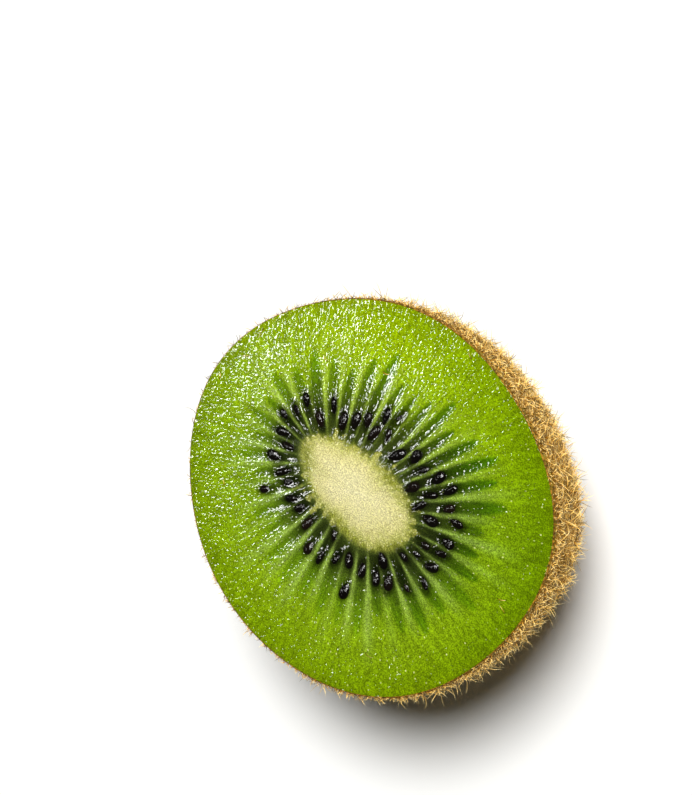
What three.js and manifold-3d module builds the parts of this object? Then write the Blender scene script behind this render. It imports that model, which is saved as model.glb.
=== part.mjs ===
// One half of a kiwi fruit, cut across its middle. It rests with the cut face up, on the
// small flat of its stalk end. Millimetres, +Z up, and the origin is the middle of that flat.
// Skin, flesh, core and seeds are grown together, so the half is one solid.
import * as THREE from "three";
import { mergeVertices } from "three/addons/utils/BufferGeometryUtils.js";
import Module from "manifold-3d";

// ---- Driving dimensions, mm ----
const FACE_LENGTH = 53.36; // the oval cut face along X, before its lobes
const FACE_WIDTH = 48.08; // and along Y
const HALF_HEIGHT = 34.2; // from the rest flat up to the cut face
const SIDE_FULLNESS = 2.1; // power of the superellipse that the side follows; 2 is an ellipse
const EDGE_ROUND = 0.3; // the cut edge is this much rounded over
const SKIN_UNEVENNESS = 0.28; // low swellings of the side

// The face is a little uneven: low lobes, each with its count, its share and its angle.
const RIM_LOBES = [
  { count: 3, share: 0.0082, angle: 54.8 },
  { count: 4, share: 0.0071, angle: 22.5 },
  { count: 5, share: 0.007, angle: 33.5 },
];

// The stalk end: a flat collar round a ring groove, with the woody scar in its middle.
const COLLAR_RADIUS = 6;
const GROOVE_RADIUS = 4.2;
const SCAR_RADIUS = 3.1;
const GROOVE_DEPTH = 0.8;

// The pale core: an oval, broader at its +X end.
const CORE_CENTRE = { x: -1, y: -0.2 };
const CORE_LENGTH = 18.4;
const CORE_WIDTH = 9.2;
const CORE_BLUNTNESS = 0.22; // how much its +X end is broader than the middle
const CORE_CROWN = 0.25; // the core stands this much proud of the cut

// The seed chambers: shallow drops in the cut face, round the core, pointed outward.
const CHAMBERS = 38;
const CHAMBER_DEPTH = 0.32;
const CHAMBER_END = 0.52; // where a chamber ends, as a share of the way from core to rim
const FIRST_CHAMBER = -0.12; // radians from +X
const CROWDING = [0.117, 0.07]; // how the chambers crowd together at the +Y side, radians

// The seeds: flattened drops, their pointed end to the core.
const SEED_LENGTH = 2.5;
const SEED_WIDTH = 1.6;
const SEED_THICKNESS = 0.95;
const SEED_TAPER = 0.3; // how much narrower a seed is at its pointed end
const SEED_STRAY = 0.3; // how wide, in chambers, the seeds stray off a chamber's middle
const SEED_SPACING = { along: 2.6, across: 1.5 }; // least distance of two seeds' middles
// Three rows of places are tried, each a band of the way from core to rim, with one place in
// every chamber. A place that is too near a seed already laid is skipped.
const SEED_ROWS = [[0.12, 0.3], [0.06, 0.24], [0.2, 0.38]];
const SEED_DRAW = 73646; // the number that the scatter starts from

// ---- Mesh fineness ----
const SAMPLES_PER_CHAMBER = 4;
const SIDE_RINGS = 12;
const CHAMBER_RINGS = [0.6, 0.5, 0.42, 0.34, 0.26, 0.18, 0.1, 0.04, 0];

// ---- Outlines of the cut face ----

const radians = (degrees) => (degrees * Math.PI) / 180;
const mix = (from, to, share) => from + (to - from) * share;

// Where chamber number `place` lies round the face, as the angle of the oval outlines.
function chamberAngle(place) {
  const even = (2 * Math.PI * place) / CHAMBERS + FIRST_CHAMBER;
  return even + CROWDING[0] * Math.cos(even) + CROWDING[1] * Math.sin(2 * even);
}

// The outline of the cut face: an ellipse times its low lobes.
function rimPoint(angle) {
  const lobes = RIM_LOBES.reduce(
    (sum, lobe) => sum + lobe.share * Math.cos(lobe.count * (angle - radians(lobe.angle))),
    1,
  );
  return {
    x: (FACE_LENGTH / 2) * lobes * Math.cos(angle),
    y: (FACE_WIDTH / 2) * lobes * Math.sin(angle),
  };
}

// The outline of the core: an ellipse whose width grows towards +X.
function corePoint(angle) {
  return {
    x: CORE_CENTRE.x + (CORE_LENGTH / 2) * Math.cos(angle),
    y: CORE_CENTRE.y
      + (CORE_WIDTH / 2) * Math.sin(angle) * (1 + CORE_BLUNTNESS * Math.cos(angle)),
  };
}

// A point on the straight ray from the core's outline (share 0) to the rim (share 1).
function rayPoint(angle, share) {
  const core = corePoint(angle);
  const rim = rimPoint(angle);
  return { x: mix(core.x, rim.x, share), y: mix(core.y, rim.y, share) };
}

// ---- Relief of the cut face ----

// A chamber dips in with a round end at the core and thins to a point outward.
function chamberDip(place, share) {
  if (share <= 0 || share >= CHAMBER_END) return 0;
  const along = share / CHAMBER_END;
  const swell = Math.min(1, 4 * along) * (1 - along ** 3);
  const across = Math.cos(2 * Math.PI * place) * 0.5 + 0.5; // 1 at a chamber's middle
  return CHAMBER_DEPTH * swell * across;
}

function faceHeight(place, share) {
  return HALF_HEIGHT - chamberDip(place, share);
}

// ---- Rings of points, all running anticlockwise seen from above ----

const FULL_ROUND = CHAMBERS * SAMPLES_PER_CHAMBER;

// A ring with `count` points, each worked out from its chamber number.
function ring(count, pointAt) {
  return Array.from({ length: count }, (_, step) => {
    const place = (step * CHAMBERS) / count;
    return pointAt(place, chamberAngle(place));
  });
}

// A ring of the cut face at one share of the way from core to rim.
function faceRing(count, share) {
  return ring(count, (place, angle) => {
    const { x, y } = rayPoint(angle, share);
    return [x, y, faceHeight(place, share)];
  });
}

// A ring inside the core: its outline drawn in to `size`, on a low crown.
function coreRing(count, size) {
  return ring(count, (place, angle) => {
    const edge = corePoint(angle);
    return [
      mix(CORE_CENTRE.x, edge.x, size),
      mix(CORE_CENTRE.y, edge.y, size),
      HALF_HEIGHT + CORE_CROWN * (1 - size ** 2),
    ];
  });
}

// A ring of the skin. `turn` runs from 0 at the cut to 1 at the stalk collar. Going down, the
// oval shrinks along a superellipse and grows round, until it is the collar's circle.
const MEAN_RADIUS = (FACE_LENGTH + FACE_WIDTH) / 4;
const COLLAR_SHARE = COLLAR_RADIUS / MEAN_RADIUS;
const POLE_DEPTH = HALF_HEIGHT / (1 - COLLAR_SHARE ** SIDE_FULLNESS) ** (1 / SIDE_FULLNESS);
const LAST_TURN = Math.acos(COLLAR_SHARE ** (SIDE_FULLNESS / 2));

function sideRing(count, turn) {
  const size = Math.cos(turn * LAST_TURN) ** (2 / SIDE_FULLNESS);
  const depth = POLE_DEPTH * Math.sin(turn * LAST_TURN) ** (2 / SIDE_FULLNESS);
  const roundness = ((1 - size) / (1 - COLLAR_SHARE)) ** 2;
  return ring(count, (place, angle) => {
    const edge = rimPoint(angle);
    const swelling = SKIN_UNEVENNESS * Math.sin(Math.PI * turn)
      * Math.sin(3 * angle + 4 * turn) * Math.cos(2 * angle - 5 * turn);
    const grow = 1 + swelling / MEAN_RADIUS;
    return [
      mix(edge.x, MEAN_RADIUS * Math.cos(angle), roundness) * size * grow,
      mix(edge.y, MEAN_RADIUS * Math.sin(angle), roundness) * size * grow,
      HALF_HEIGHT - Math.max(depth, EDGE_ROUND),
    ];
  });
}

// A plain circle at the stalk end.
function stalkRing(count, radius, height) {
  return ring(count, (place, angle) => [
    radius * Math.cos(angle), radius * Math.sin(angle), height,
  ]);
}

// ---- The half without its seeds ----

// Rings from the middle of the core, over the cut face and down the side to the stalk scar.
function halfRings() {
  const half = FULL_ROUND / 2;
  const quarter = FULL_ROUND / 4;
  const inset = 1 - EDGE_ROUND / (MEAN_RADIUS - CORE_WIDTH / 2);
  const chamberRings = [...CHAMBER_RINGS].reverse().map((share) => faceRing(FULL_ROUND, share));
  const sideRings = Array.from({ length: SIDE_RINGS }, (_, step) =>
    sideRing(half, step / SIDE_RINGS));
  return [
    coreRing(quarter, 0.3),
    coreRing(half, 0.65),
    ...chamberRings,
    faceRing(half, 0.8),
    faceRing(half, inset),
    ...sideRings,
    stalkRing(quarter, COLLAR_RADIUS, 0),
    stalkRing(quarter, GROOVE_RADIUS + 0.3, 0),
    stalkRing(quarter, GROOVE_RADIUS - 0.2, GROOVE_DEPTH),
    stalkRing(quarter, SCAR_RADIUS + 0.2, GROOVE_DEPTH),
    stalkRing(quarter, SCAR_RADIUS - 0.1, 0),
  ];
}

// Triangles between two rings. Where one ring has twice the points, it takes three to two.
function bandTriangles(inner, outer) {
  const triangles = [];
  const steps = Math.min(inner.length, outer.length);
  for (let step = 0; step < steps; step += 1) {
    const next = (step + 1) % steps;
    if (inner.length === outer.length) {
      triangles.push([inner[step], outer[step], outer[next]]);
      triangles.push([inner[step], outer[next], inner[next]]);
    } else if (outer.length > inner.length) {
      const [a, b, c] = [2 * step, 2 * step + 1, (2 * step + 2) % outer.length];
      triangles.push([inner[step], outer[a], outer[b]]);
      triangles.push([inner[step], outer[b], inner[next]]);
      triangles.push([inner[next], outer[b], outer[c]]);
    } else {
      const [a, b, c] = [2 * step, 2 * step + 1, (2 * step + 2) % inner.length];
      triangles.push([inner[a], outer[step], inner[b]]);
      triangles.push([inner[b], outer[step], outer[next]]);
      triangles.push([inner[b], outer[next], inner[c]]);
    }
  }
  return triangles;
}

// Closes the run of rings with a point in the middle of the core and one in the scar.
function halfGeometry() {
  const points = [[CORE_CENTRE.x, CORE_CENTRE.y, HALF_HEIGHT + CORE_CROWN]];
  const rings = halfRings().map((ringPoints) =>
    ringPoints.map((point) => points.push(point) - 1));
  const scarMiddle = points.push([0, 0, 0]) - 1;
  const triangles = [];
  const first = rings[0];
  const last = rings[rings.length - 1];
  first.forEach((corner, step) => {
    triangles.push([0, corner, first[(step + 1) % first.length]]);
  });
  rings.slice(1).forEach((outer, step) => triangles.push(...bandTriangles(rings[step], outer)));
  last.forEach((corner, step) => {
    triangles.push([last[(step + 1) % last.length], corner, scarMiddle]);
  });
  const geometry = new THREE.BufferGeometry();
  geometry.setAttribute("position", new THREE.Float32BufferAttribute(points.flat(), 3));
  geometry.setIndex(triangles.flat());
  return geometry;
}

// ---- Seeds ----

// The same number from 0 to 1 every time for one chamber and one draw.
function scatter(chamber, draw) {
  const value = Math.sin(chamber * 12.9898 + draw * 78.233 + SEED_DRAW) * 43758.5453;
  return value - Math.floor(value);
}

// Where the seeds lie, row by row and chamber by chamber, clear of each other.
function seedPlaces() {
  const places = [];
  SEED_ROWS.forEach(([from, to], row) => {
    for (let chamber = 0; chamber < CHAMBERS; chamber += 1) {
      const share = mix(from, to, scatter(chamber, 2 * row));
      const place = chamber + SEED_STRAY * (scatter(chamber, 2 * row + 1) - 0.5);
      const angle = chamberAngle(place);
      const { x, y } = rayPoint(angle, share);
      const core = corePoint(angle);
      const rim = rimPoint(angle);
      const heading = Math.atan2(rim.y - core.y, rim.x - core.x);
      const taken = places.some((seed) => {
        const along = (x - seed.x) * Math.cos(heading) + (y - seed.y) * Math.sin(heading);
        const across = (y - seed.y) * Math.cos(heading) - (x - seed.x) * Math.sin(heading);
        return Math.hypot(along / SEED_SPACING.along, across / SEED_SPACING.across) < 1;
      });
      if (!taken) places.push({ x, y, heading, chamber, row });
    }
  });
  return places;
}

// A flattened drop along X, then turned to its heading and half sunk in the face.
function seedGeometry({ x, y, heading, chamber, row }) {
  const size = mix(0.85, 1.08, scatter(chamber, 10 + row));
  const breadth = mix(0.68, 1.15, scatter(chamber, 20 + row)); // some lie on edge
  const tilt = mix(-0.5, 0.5, scatter(chamber, 30 + row));
  const geometry = new THREE.SphereGeometry(1, 6, 4).rotateZ(-Math.PI / 2);
  geometry.deleteAttribute("normal");
  geometry.deleteAttribute("uv");
  const corners = geometry.attributes.position;
  for (let corner = 0; corner < corners.count; corner += 1) {
    const taper = 1 + SEED_TAPER * corners.getX(corner);
    corners.setY(corner, corners.getY(corner) * taper);
    corners.setZ(corner, corners.getZ(corner) * taper);
  }
  return mergeVertices(geometry)
    .scale((SEED_LENGTH / 2) * size, (SEED_WIDTH / 2) * size * breadth, SEED_THICKNESS / 2)
    .rotateZ(heading + tilt)
    .translate(x, y, HALF_HEIGHT - 0.05);
}

// ---- Joining ----

const wasm = await Module();
wasm.setup();

function toSolid(geometry) {
  return new wasm.Manifold(new wasm.Mesh({
    numProp: 3,
    vertProperties: new Float32Array(geometry.attributes.position.array),
    triVerts: new Uint32Array(geometry.index.array),
  }));
}

function toGeometry(solid) {
  const mesh = solid.getMesh();
  const geometry = new THREE.BufferGeometry();
  geometry.setAttribute("position", new THREE.Float32BufferAttribute(mesh.vertProperties, 3));
  geometry.setIndex(new THREE.Uint32BufferAttribute(mesh.triVerts, 1));
  geometry.computeVertexNormals();
  return geometry;
}

const seededHalf = seedPlaces().reduce(
  (solid, place) => solid.add(toSolid(seedGeometry(place))),
  toSolid(halfGeometry()),
);

const kiwiHalf = new THREE.Mesh(
  toGeometry(seededHalf),
  new THREE.MeshStandardMaterial({ color: 0x88a339, roughness: 0.35, metalness: 0 }),
);
kiwiHalf.name = "kiwi_half";

const group = new THREE.Group();
group.add(kiwiHalf);

export default group;
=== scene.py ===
# %% [markdown]
# # Half a kiwi fruit
#
# A kiwi fruit is a berry. Cut across its middle it shows a bright green flesh, a pale oval
# core, a ring of narrow seed chambers like spokes, and small black seeds in them. Outside is
# a thin brown skin with stiff golden hairs. This half lies with its cut face up, on the small
# flat of its stalk end.
#
# The solid model gives the size and the place. This lesson grows the visible surfaces around
# the same outlines: everything is first worked out in millimetres, as whole numpy arrays, and
# turned to metres when a mesh is made.

# %% Frame, size and units
import math
from functools import partial

import bpy
import numpy as np
from mathutils import Matrix, Vector


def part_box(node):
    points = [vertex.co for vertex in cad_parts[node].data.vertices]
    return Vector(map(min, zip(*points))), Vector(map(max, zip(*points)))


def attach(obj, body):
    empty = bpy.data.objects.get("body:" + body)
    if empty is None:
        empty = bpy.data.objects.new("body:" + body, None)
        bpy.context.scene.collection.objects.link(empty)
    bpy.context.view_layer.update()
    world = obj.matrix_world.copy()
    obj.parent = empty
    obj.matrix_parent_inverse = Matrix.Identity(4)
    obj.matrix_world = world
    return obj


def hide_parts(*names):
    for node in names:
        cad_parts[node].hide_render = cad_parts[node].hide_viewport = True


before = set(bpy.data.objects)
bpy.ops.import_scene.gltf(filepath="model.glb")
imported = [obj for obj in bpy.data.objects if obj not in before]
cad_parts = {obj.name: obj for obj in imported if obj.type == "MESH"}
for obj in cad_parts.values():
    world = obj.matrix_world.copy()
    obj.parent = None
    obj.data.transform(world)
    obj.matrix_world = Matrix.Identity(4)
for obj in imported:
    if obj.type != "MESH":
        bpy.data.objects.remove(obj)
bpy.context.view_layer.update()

MM = 0.001
NODE = "kiwi_half"
low, high = (np.array(corner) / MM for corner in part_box(NODE))
print("solid, mm:", np.round(low, 2), np.round(high, 2))

# %% [markdown]
# ## The outlines that everything shares
#
# A real fruit is never a true ellipse, so the outline of the cut is an ellipse with a few low
# lobes on it. The core is a smaller oval, broader at one end. A chamber lies between a point
# of the core's outline and the point of the rim at the same angle, on a straight ray. So two
# numbers place anything on the cut face: `place` counts the chambers round the core, and
# `share` runs from 0 at the core to 1 at the rim. A grid drawn in these two numbers follows
# the fruit's own growth, which a square grid would cut across.

# %% Outlines and rays
FACE_LENGTH, FACE_WIDTH = 53.36, 48.08
HALF_HEIGHT = 34.2
RIM_LOBES = ((3, 0.0082, 54.8), (4, 0.0071, 22.5), (5, 0.007, 33.5))  # count, share, degrees
CORE_MIDDLE = np.array([-1.0, -0.2])
CORE_LENGTH, CORE_WIDTH, CORE_BLUNTNESS = 18.4, 9.2, 0.22
CORE_CORNERS = ((3, 0.07, 11.0), (5, 0.07, 26.3))  # count, share, degrees
CHAMBERS = 38
FIRST_CHAMBER = -0.12
CROWDING = (0.117, 0.07)
MEAN_RADIUS = (FACE_LENGTH + FACE_WIDTH) / 4
DRUM_RADIUS, DRUM_LENGTH = MEAN_RADIUS * 0.6, 20


def mix(start, end, share):
    """A share of the straight way from start to end: start plus share times their difference."""
    return start + (end - start) * share


def smooth_step(start, end, value):
    """From 0 at start to 1 at end, level at both ends: 3t² - 2t³ of the clipped share t."""
    share = np.clip((value - start) / (end - start), 0, 1)
    return share * share * (3 - 2 * share)


def chamber_angle(place):
    """The oval's angle of a chamber number: even steps, crowded together at the +Y side."""
    even = 2 * np.pi * place / CHAMBERS + FIRST_CHAMBER
    return even + CROWDING[0] * np.cos(even) + CROWDING[1] * np.sin(2 * even)


def circle_point(angle, x_radius=1.0, y_radius=1.0):
    """Flat points of an ellipse: its radii times the cosine and the sine of the angle."""
    return np.stack([x_radius * np.cos(angle), y_radius * np.sin(angle)], axis=-1)


def lifted(flat, height):
    """Flat points with a height added as their third number, one for all or one for each."""
    return np.concatenate([flat, np.broadcast_to(height, flat.shape[:-1])[..., None]], axis=-1)


def lobes(angle, table):
    """A sum of small cosines of the angle, from counts, sizes and degrees."""
    return sum(size * np.cos(count * (angle - math.radians(turn))) for count, size, turn in table)


def rim_point(angle):
    """The edge of the cut: an ellipse times one plus its lobes."""
    grown = 1 + lobes(angle, RIM_LOBES)
    return circle_point(angle, FACE_LENGTH / 2 * grown, FACE_WIDTH / 2 * grown)


def core_point(angle):
    """The edge of the core: an ellipse whose width grows with the cosine of the angle."""
    width = CORE_WIDTH / 2 * (1 + CORE_BLUNTNESS * np.cos(angle))
    return CORE_MIDDLE + circle_point(angle, CORE_LENGTH / 2, width)


def turned(x, y, angle):
    """The pair x, y turned by an angle, as by a matrix of its cosine and sine."""
    cosine, sine = np.cos(angle), np.sin(angle)
    return x * cosine - y * sine, x * sine + y * cosine


def unit(vectors):
    """Vectors made one long: each divided by its length, the root of its summed squares."""
    return vectors / np.linalg.norm(vectors, axis=-1, keepdims=True)


def ring_angles(count):
    """Angles of the points of a closed ring: a full turn in even steps."""
    return np.linspace(0, 2 * np.pi, count, endpoint=False)


def ray_point(angle, share):
    """The point at `share` of the straight way from the core's edge to the rim."""
    return mix(core_point(angle), rim_point(angle), np.asarray(share)[..., None])


# %% [markdown]
# ## Chance that comes out the same each time
#
# Growth is uneven, but a model has to come out the same on every run. So chance is worked out
# and not drawn: the digits far behind the point of a big sine are as good as random, and the
# same input always gives the same digits. From such numbers at the corners of a grid of cubes
# comes a smooth field of swellings, which bends rays, dents flesh and combs hairs.

# %% Scatter and smooth swellings
SEED_DRAW = 73646


def scatter(item, draw):
    """A number from 0 to 1 for one item and one draw: the fraction of a large sine."""
    value = np.sin(item * 12.9898 + draw * 78.233 + SEED_DRAW) * 43758.5453
    return value - np.floor(value)


def swellings(points, size, draw=0):
    """Smooth numbers from -1 to 1. Space is cut into cubes of `size` mm, each corner gets a
    scattered value, and inside a cube its eight corner values are blended smoothly."""
    cell, inside = np.divmod(np.asarray(points, float) / size, 1.0)
    blend = inside * inside * (3 - 2 * inside)
    total = np.zeros(blend.shape[:-1])
    for corner in np.ndindex(2, 2, 2):
        weight = np.prod(np.where(corner, blend, 1 - blend), axis=-1)
        total += weight * scatter((cell + corner) @ (1.0, 57.31, 113.77), draw)
    return 2 * total - 1


# %% [markdown]
# ## From arrays to a mesh
#
# A surface here is a grid: rows of points, each row a closed ring. Neighbouring rings are
# joined by squares, and a ring can be closed with one point, such as the middle of the core.
# Numpy lists the corners of all faces at once, and `foreach_set` hands whole arrays to
# Blender, which is hundreds of times faster than a loop over points. A piece can also carry
# a flat map, `OFBake`, through which a game or a web page has its colours baked: each face
# that is seen has a spot of its own there, and hidden faces shrink into a corner.

# %% Mesh maker
HALF_MAP = 0.49  # from the middle of a piece's flat map to just inside its edge


def ring_faces(rows, columns, both_ends=True, flip=False):
    """Corner numbers of the squares between closed rings, and of the fans of triangles that
    close the rings at the ends, each with a point after those of the grid. Without
    `both_ends` the first ring stays open. With `flip` the faces look the other way."""
    at = np.arange(rows * columns).reshape(rows, columns)
    beside = np.roll(at, -1, axis=1)
    squares = np.stack([at[:-1], at[1:], beside[1:], beside[:-1]], axis=-1).reshape(-1, 4)
    pole = np.full(columns, rows * columns)
    fans = [np.stack([pole, at[0], beside[0]], axis=-1)] if both_ends else []
    fans.append(np.stack([pole + len(fans), beside[-1], at[-1]], axis=-1))
    faces = squares, np.concatenate(fans)
    return [corners[:, ::-1] for corners in faces] if flip else faces


def copied(faces, count, size):
    """The same faces for each of `count` bodies: corner numbers raised by the `size` points of
    every body before."""
    raised = (np.arange(count) * size)[:, None, None]
    return [(corners + raised).reshape(-1, corners.shape[1]) for corners in faces]


def corner_places(squares, triangles, seen, behind):
    """Places on a square map for all face corners. `seen` gives each point's own place, up to
    HALF_MAP from its middle. A face with a point in `behind` shrinks into a corner."""
    places = []
    for faces in (squares, triangles):
        small = behind[faces].any(axis=1)[:, None, None]
        places.append(np.where(small, 0.07 + 0.12 * seen[faces], 0.5 + seen[faces]))
    return np.concatenate([place.reshape(-1, 2) for place in places])


def make_piece(name, points, squares, triangles, marks=None, places=None):
    """A smooth-shaded mesh from corner numbers. `marks` are values kept on its points, for
    the material to read: one number or three for each point. `places` is its flat map."""
    mesh = bpy.data.meshes.new(name)
    mesh.vertices.add(len(points))
    mesh.vertices.foreach_set("co", (np.asarray(points) * MM).astype(np.float32).ravel())
    corners = np.concatenate([squares.ravel(), triangles.ravel()]).astype(np.int32)
    starts = np.concatenate([np.arange(len(squares)) * 4,
                             squares.size + np.arange(len(triangles)) * 3]).astype(np.int32)
    mesh.loops.add(len(corners))
    mesh.loops.foreach_set("vertex_index", corners)
    mesh.polygons.add(len(starts))
    mesh.polygons.foreach_set("loop_start", starts)
    mesh.update(calc_edges=True)
    mesh.polygons.foreach_set("use_smooth", np.ones(len(starts), bool))
    for mark, values in (marks or {}).items():
        vector = np.ndim(values) == 2
        layer = mesh.attributes.new(mark, "FLOAT_VECTOR" if vector else "FLOAT", "POINT")
        layer.data.foreach_set("vector" if vector else "value",
                               np.asarray(values, np.float32).ravel())
    if places is not None:
        mesh.uv_layers.new(name="OFBake").data.foreach_set(
            "uv", np.asarray(places, np.float32).ravel())
    piece = bpy.data.objects.new(name, mesh)
    bpy.context.scene.collection.objects.link(piece)
    print(f"{name}: {len(points)} points, {2 * len(squares) + len(triangles)} triangles")
    return piece


# %% [markdown]
# ## From hex colours to nodes
#
# A colour is written as on a paint chart, in sRGB hex, and turned to the linear values that
# light adds up in. A material is a few nodes, and one small function adds any of them. Each
# material has a function of its own that works out its surface.

# %% Colour and node helpers
def colour(hex_code):
    """sRGB hex to linear RGBA: a straight part near black and a power of 2.4 above it."""
    srgb = [int(hex_code[i:i + 2], 16) / 255 for i in (0, 2, 4)]
    linear = [c / 12.92 if c <= 0.04045 else ((c + 0.055) / 1.055) ** 2.4 for c in srgb]
    return (*linear, 1.0)


def add_node(tree, kind, sockets=(), stops=(), **settings):
    """Adds one shader node. `sockets` fills its inputs, in order or by name or number: with a
    value, with another node's output, or with a node, whose first output in use is taken.
    `stops` fills a colour ramp with places and hex colours."""
    node = tree.nodes.new("ShaderNode" + kind)
    for name, value in settings.items():
        setattr(node, name, value)
    for name, value in sockets.items() if isinstance(sockets, dict) else enumerate(sockets):
        if isinstance(value, bpy.types.Node):
            value = next(output for output in value.outputs if output.enabled)
        if isinstance(value, bpy.types.NodeSocket):
            tree.links.new(value, node.inputs[name])
        else:
            node.inputs[name].default_value = value
    for number, (place, hex_code) in enumerate(stops):
        elements = node.color_ramp.elements
        stop = elements[number] if number < 2 else elements.new(place)
        stop.position, stop.color = place, colour(hex_code)
    return node


def make_material(name, surface):
    """A material made by its own function `surface`. That one is given `add`, which adds nodes
    to the material's tree, and it gives back the node of the finished surface."""
    material = bpy.data.materials.new(name)
    material.use_nodes = True
    material.node_tree.nodes.clear()
    add = partial(add_node, material.node_tree)
    add("OutputMaterial", {"Surface": surface(add)})
    return material


# %% [markdown]
# ## Camera
#
# The camera looks down on the cut face, 26 degrees off its normal, and is rolled so that the
# oval lies slanted in the picture. A long lens from 20 centimetres keeps the oval's shape true.

# %% Camera
FACE_MIDDLE = np.array([0, 0, HALF_HEIGHT])
CAMERA_DISTANCE = 215.5
CAMERA_BEARING, CAMERA_RISE = math.radians(44.87), math.radians(63.6)
CAMERA_AIM = FACE_MIDDLE + (-9.41, 8.14, 0)
CAMERA_ROLL = math.radians(-87.2)
FOCAL_LENGTH, SENSOR = 76.98, 36.0

camera = bpy.data.objects.new("camera", bpy.data.cameras.new("camera"))
bpy.context.scene.collection.objects.link(camera)
camera.data.lens, camera.data.sensor_width = FOCAL_LENGTH, SENSOR
camera.data.clip_start, camera.data.clip_end = 0.01, 10
camera_place = FACE_MIDDLE + CAMERA_DISTANCE * lifted(
    math.cos(CAMERA_RISE) * circle_point(CAMERA_BEARING), math.sin(CAMERA_RISE))
sight = Vector(CAMERA_AIM - camera_place).to_track_quat("-Z", "Y").to_matrix().to_4x4()
camera.matrix_world = (Matrix.Translation(Vector(camera_place * MM)) @ sight
                       @ Matrix.Rotation(CAMERA_ROLL, 4, "Z"))
bpy.context.scene.camera = camera

# %% [markdown]
# ## Light, floor and backdrop
#
# This is a table-top set. A softbox, far off and large, stands towards the picture's upper
# side and lights card and fruit evenly. A small key lamp at the upper left gives the wet
# flesh its glints: the smaller the lamp, the sharper each one. Two weak lamps low down at the
# sides lift the fuzz, and they make no reflections, as if they shone through polarising film.
# Key, side and back lamp light the fruit only, so the card gets a single soft shadow. Floor
# and backdrop are white card and lit paper, and only the camera sees the backdrop.

# %% Light
LAMPS = (  # name, direction from the fruit, distance and size in mm, brightness, fruit only, glints
    ("softbox", (-0.03, 0.43, 0.90), 9000, 3240, 40.0, False, True),
    ("key", (-0.54, -0.25, 0.80), 480, 80, 34.0, True, True),
    ("side", (0.68, 0.62, 0.25), 700, 300, 12.5, True, False),
    ("back", (-0.70, -0.64, 0.25), 700, 300, 5.0, True, False),
)
SURROUNDINGS = 0.04
fruit_pieces = bpy.data.collections.new("fruit_pieces")

for name, direction, distance, size, brightness, fruit_only, glints in LAMPS:
    lamp = bpy.data.objects.new(name, bpy.data.lights.new(name, "AREA"))
    bpy.context.scene.collection.objects.link(lamp)
    lamp.data.shape, lamp.data.size = "DISK", size * MM
    lamp.data.energy = brightness * math.pi * math.pi * (size * MM / 2) ** 2
    away = Vector(direction).normalized()
    lamp.matrix_world = (Matrix.Translation(Vector(FACE_MIDDLE * MM) + away * distance * MM)
                         @ away.to_track_quat("Z", "Y").to_matrix().to_4x4())
    lamp.visible_glossy = glints
    if fruit_only:
        lamp.light_linking.receiver_collection = fruit_pieces
    print(f"{name}: {lamp.data.energy:.2f} W")

world = bpy.data.worlds.new("surroundings")
bpy.context.scene.world = world
world.use_nodes = True
world.node_tree.nodes["Background"].inputs["Color"].default_value = colour("fdffe4")
world.node_tree.nodes["Background"].inputs["Strength"].default_value = SURROUNDINGS
bpy.context.scene.view_settings.view_transform = "Standard"

# %% Floor and backdrop
FLOOR_SIZE = 6000
BACKDROP_RADIUS = FLOOR_SIZE * 0.49
BACKDROP_RINGS, BACKDROP_SIDES = 12, 64

floor_corners = np.array([(-1, -1, 0), (1, -1, 0), (1, 1, 0), (-1, 1, 0)]) * FLOOR_SIZE / 2
floor = make_piece("floor", floor_corners, np.array([[0, 1, 2, 3]]), np.zeros((0, 3), int))

rise = np.linspace(0, 85, BACKDROP_RINGS)[:, None] * np.pi / 180
flat_dome = circle_point(ring_angles(BACKDROP_SIDES), np.cos(rise), np.cos(rise))
dome = BACKDROP_RADIUS * lifted(flat_dome, np.sin(rise))
backdrop = make_piece("backdrop", np.concatenate([dome.reshape(-1, 3), [(0, 0, BACKDROP_RADIUS)]]),
                      *ring_faces(BACKDROP_RINGS, BACKDROP_SIDES, both_ends=False))
for ray in ("diffuse", "glossy", "transmission", "shadow"):
    setattr(backdrop, "visible_" + ray, False)


def card_surface(add):
    """Matt card, almost white."""
    return add("BsdfPrincipled", {"Base Color": colour("f6f6f4"), "Roughness": 0.7})


def paper_surface(add):
    """Paper with a light behind it: one even brightness all over."""
    return add("Emission", {"Color": colour("f4f4f2"), "Strength": 1.0})


floor.data.materials.append(make_material("white_card", card_surface))
backdrop.data.materials.append(make_material("lit_white_paper", paper_surface))

# %% [markdown]
# ## Where the seeds lie
#
# The seeds are laid before the flesh, because the flesh rises a little round each one. The
# rule is the solid's own: three rows of places, one place in every chamber, and a place that
# is too near a seed already laid is skipped.

# %% Seed places
SEED_LENGTH, SEED_WIDTH, SEED_THICKNESS = 2.5, 1.6, 0.95
SEED_TAPER, SEED_STRAY = 0.3, 0.3
SEED_SPACING = np.array([2.6, 1.5])
SEED_SIZES, SEED_BREADTHS = (0.82, 1.06), (0.62, 1.0)
SEED_TURNS, SEED_PITCHES = (-0.5, 0.5), (-0.22, 0.22)  # radians
SEED_SINKS = (-0.05, -0.42)
SEED_ROWS = ((0.12, 0.3), (0.06, 0.24), (0.2, 0.38))


def seed_places():
    """The middle, heading, chamber and row of each seed that is clear of the ones before."""
    laid = []
    for row, (first, last) in enumerate(SEED_ROWS):
        for chamber in range(CHAMBERS):
            share = mix(first, last, scatter(chamber, 2 * row))
            angle = chamber_angle(chamber + SEED_STRAY * (scatter(chamber, 2 * row + 1) - 0.5))
            middle, outward = ray_point(angle, share), rim_point(angle) - core_point(angle)
            along = outward / np.hypot(*outward)
            axes = np.array([along, (-along[1], along[0])])
            near = any(np.hypot(*(axes @ (middle - seed[0]) / SEED_SPACING)) < 1
                       for seed in laid)
            if not near:
                laid.append((middle, math.atan2(along[1], along[0]), chamber, row))
    return laid


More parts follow.
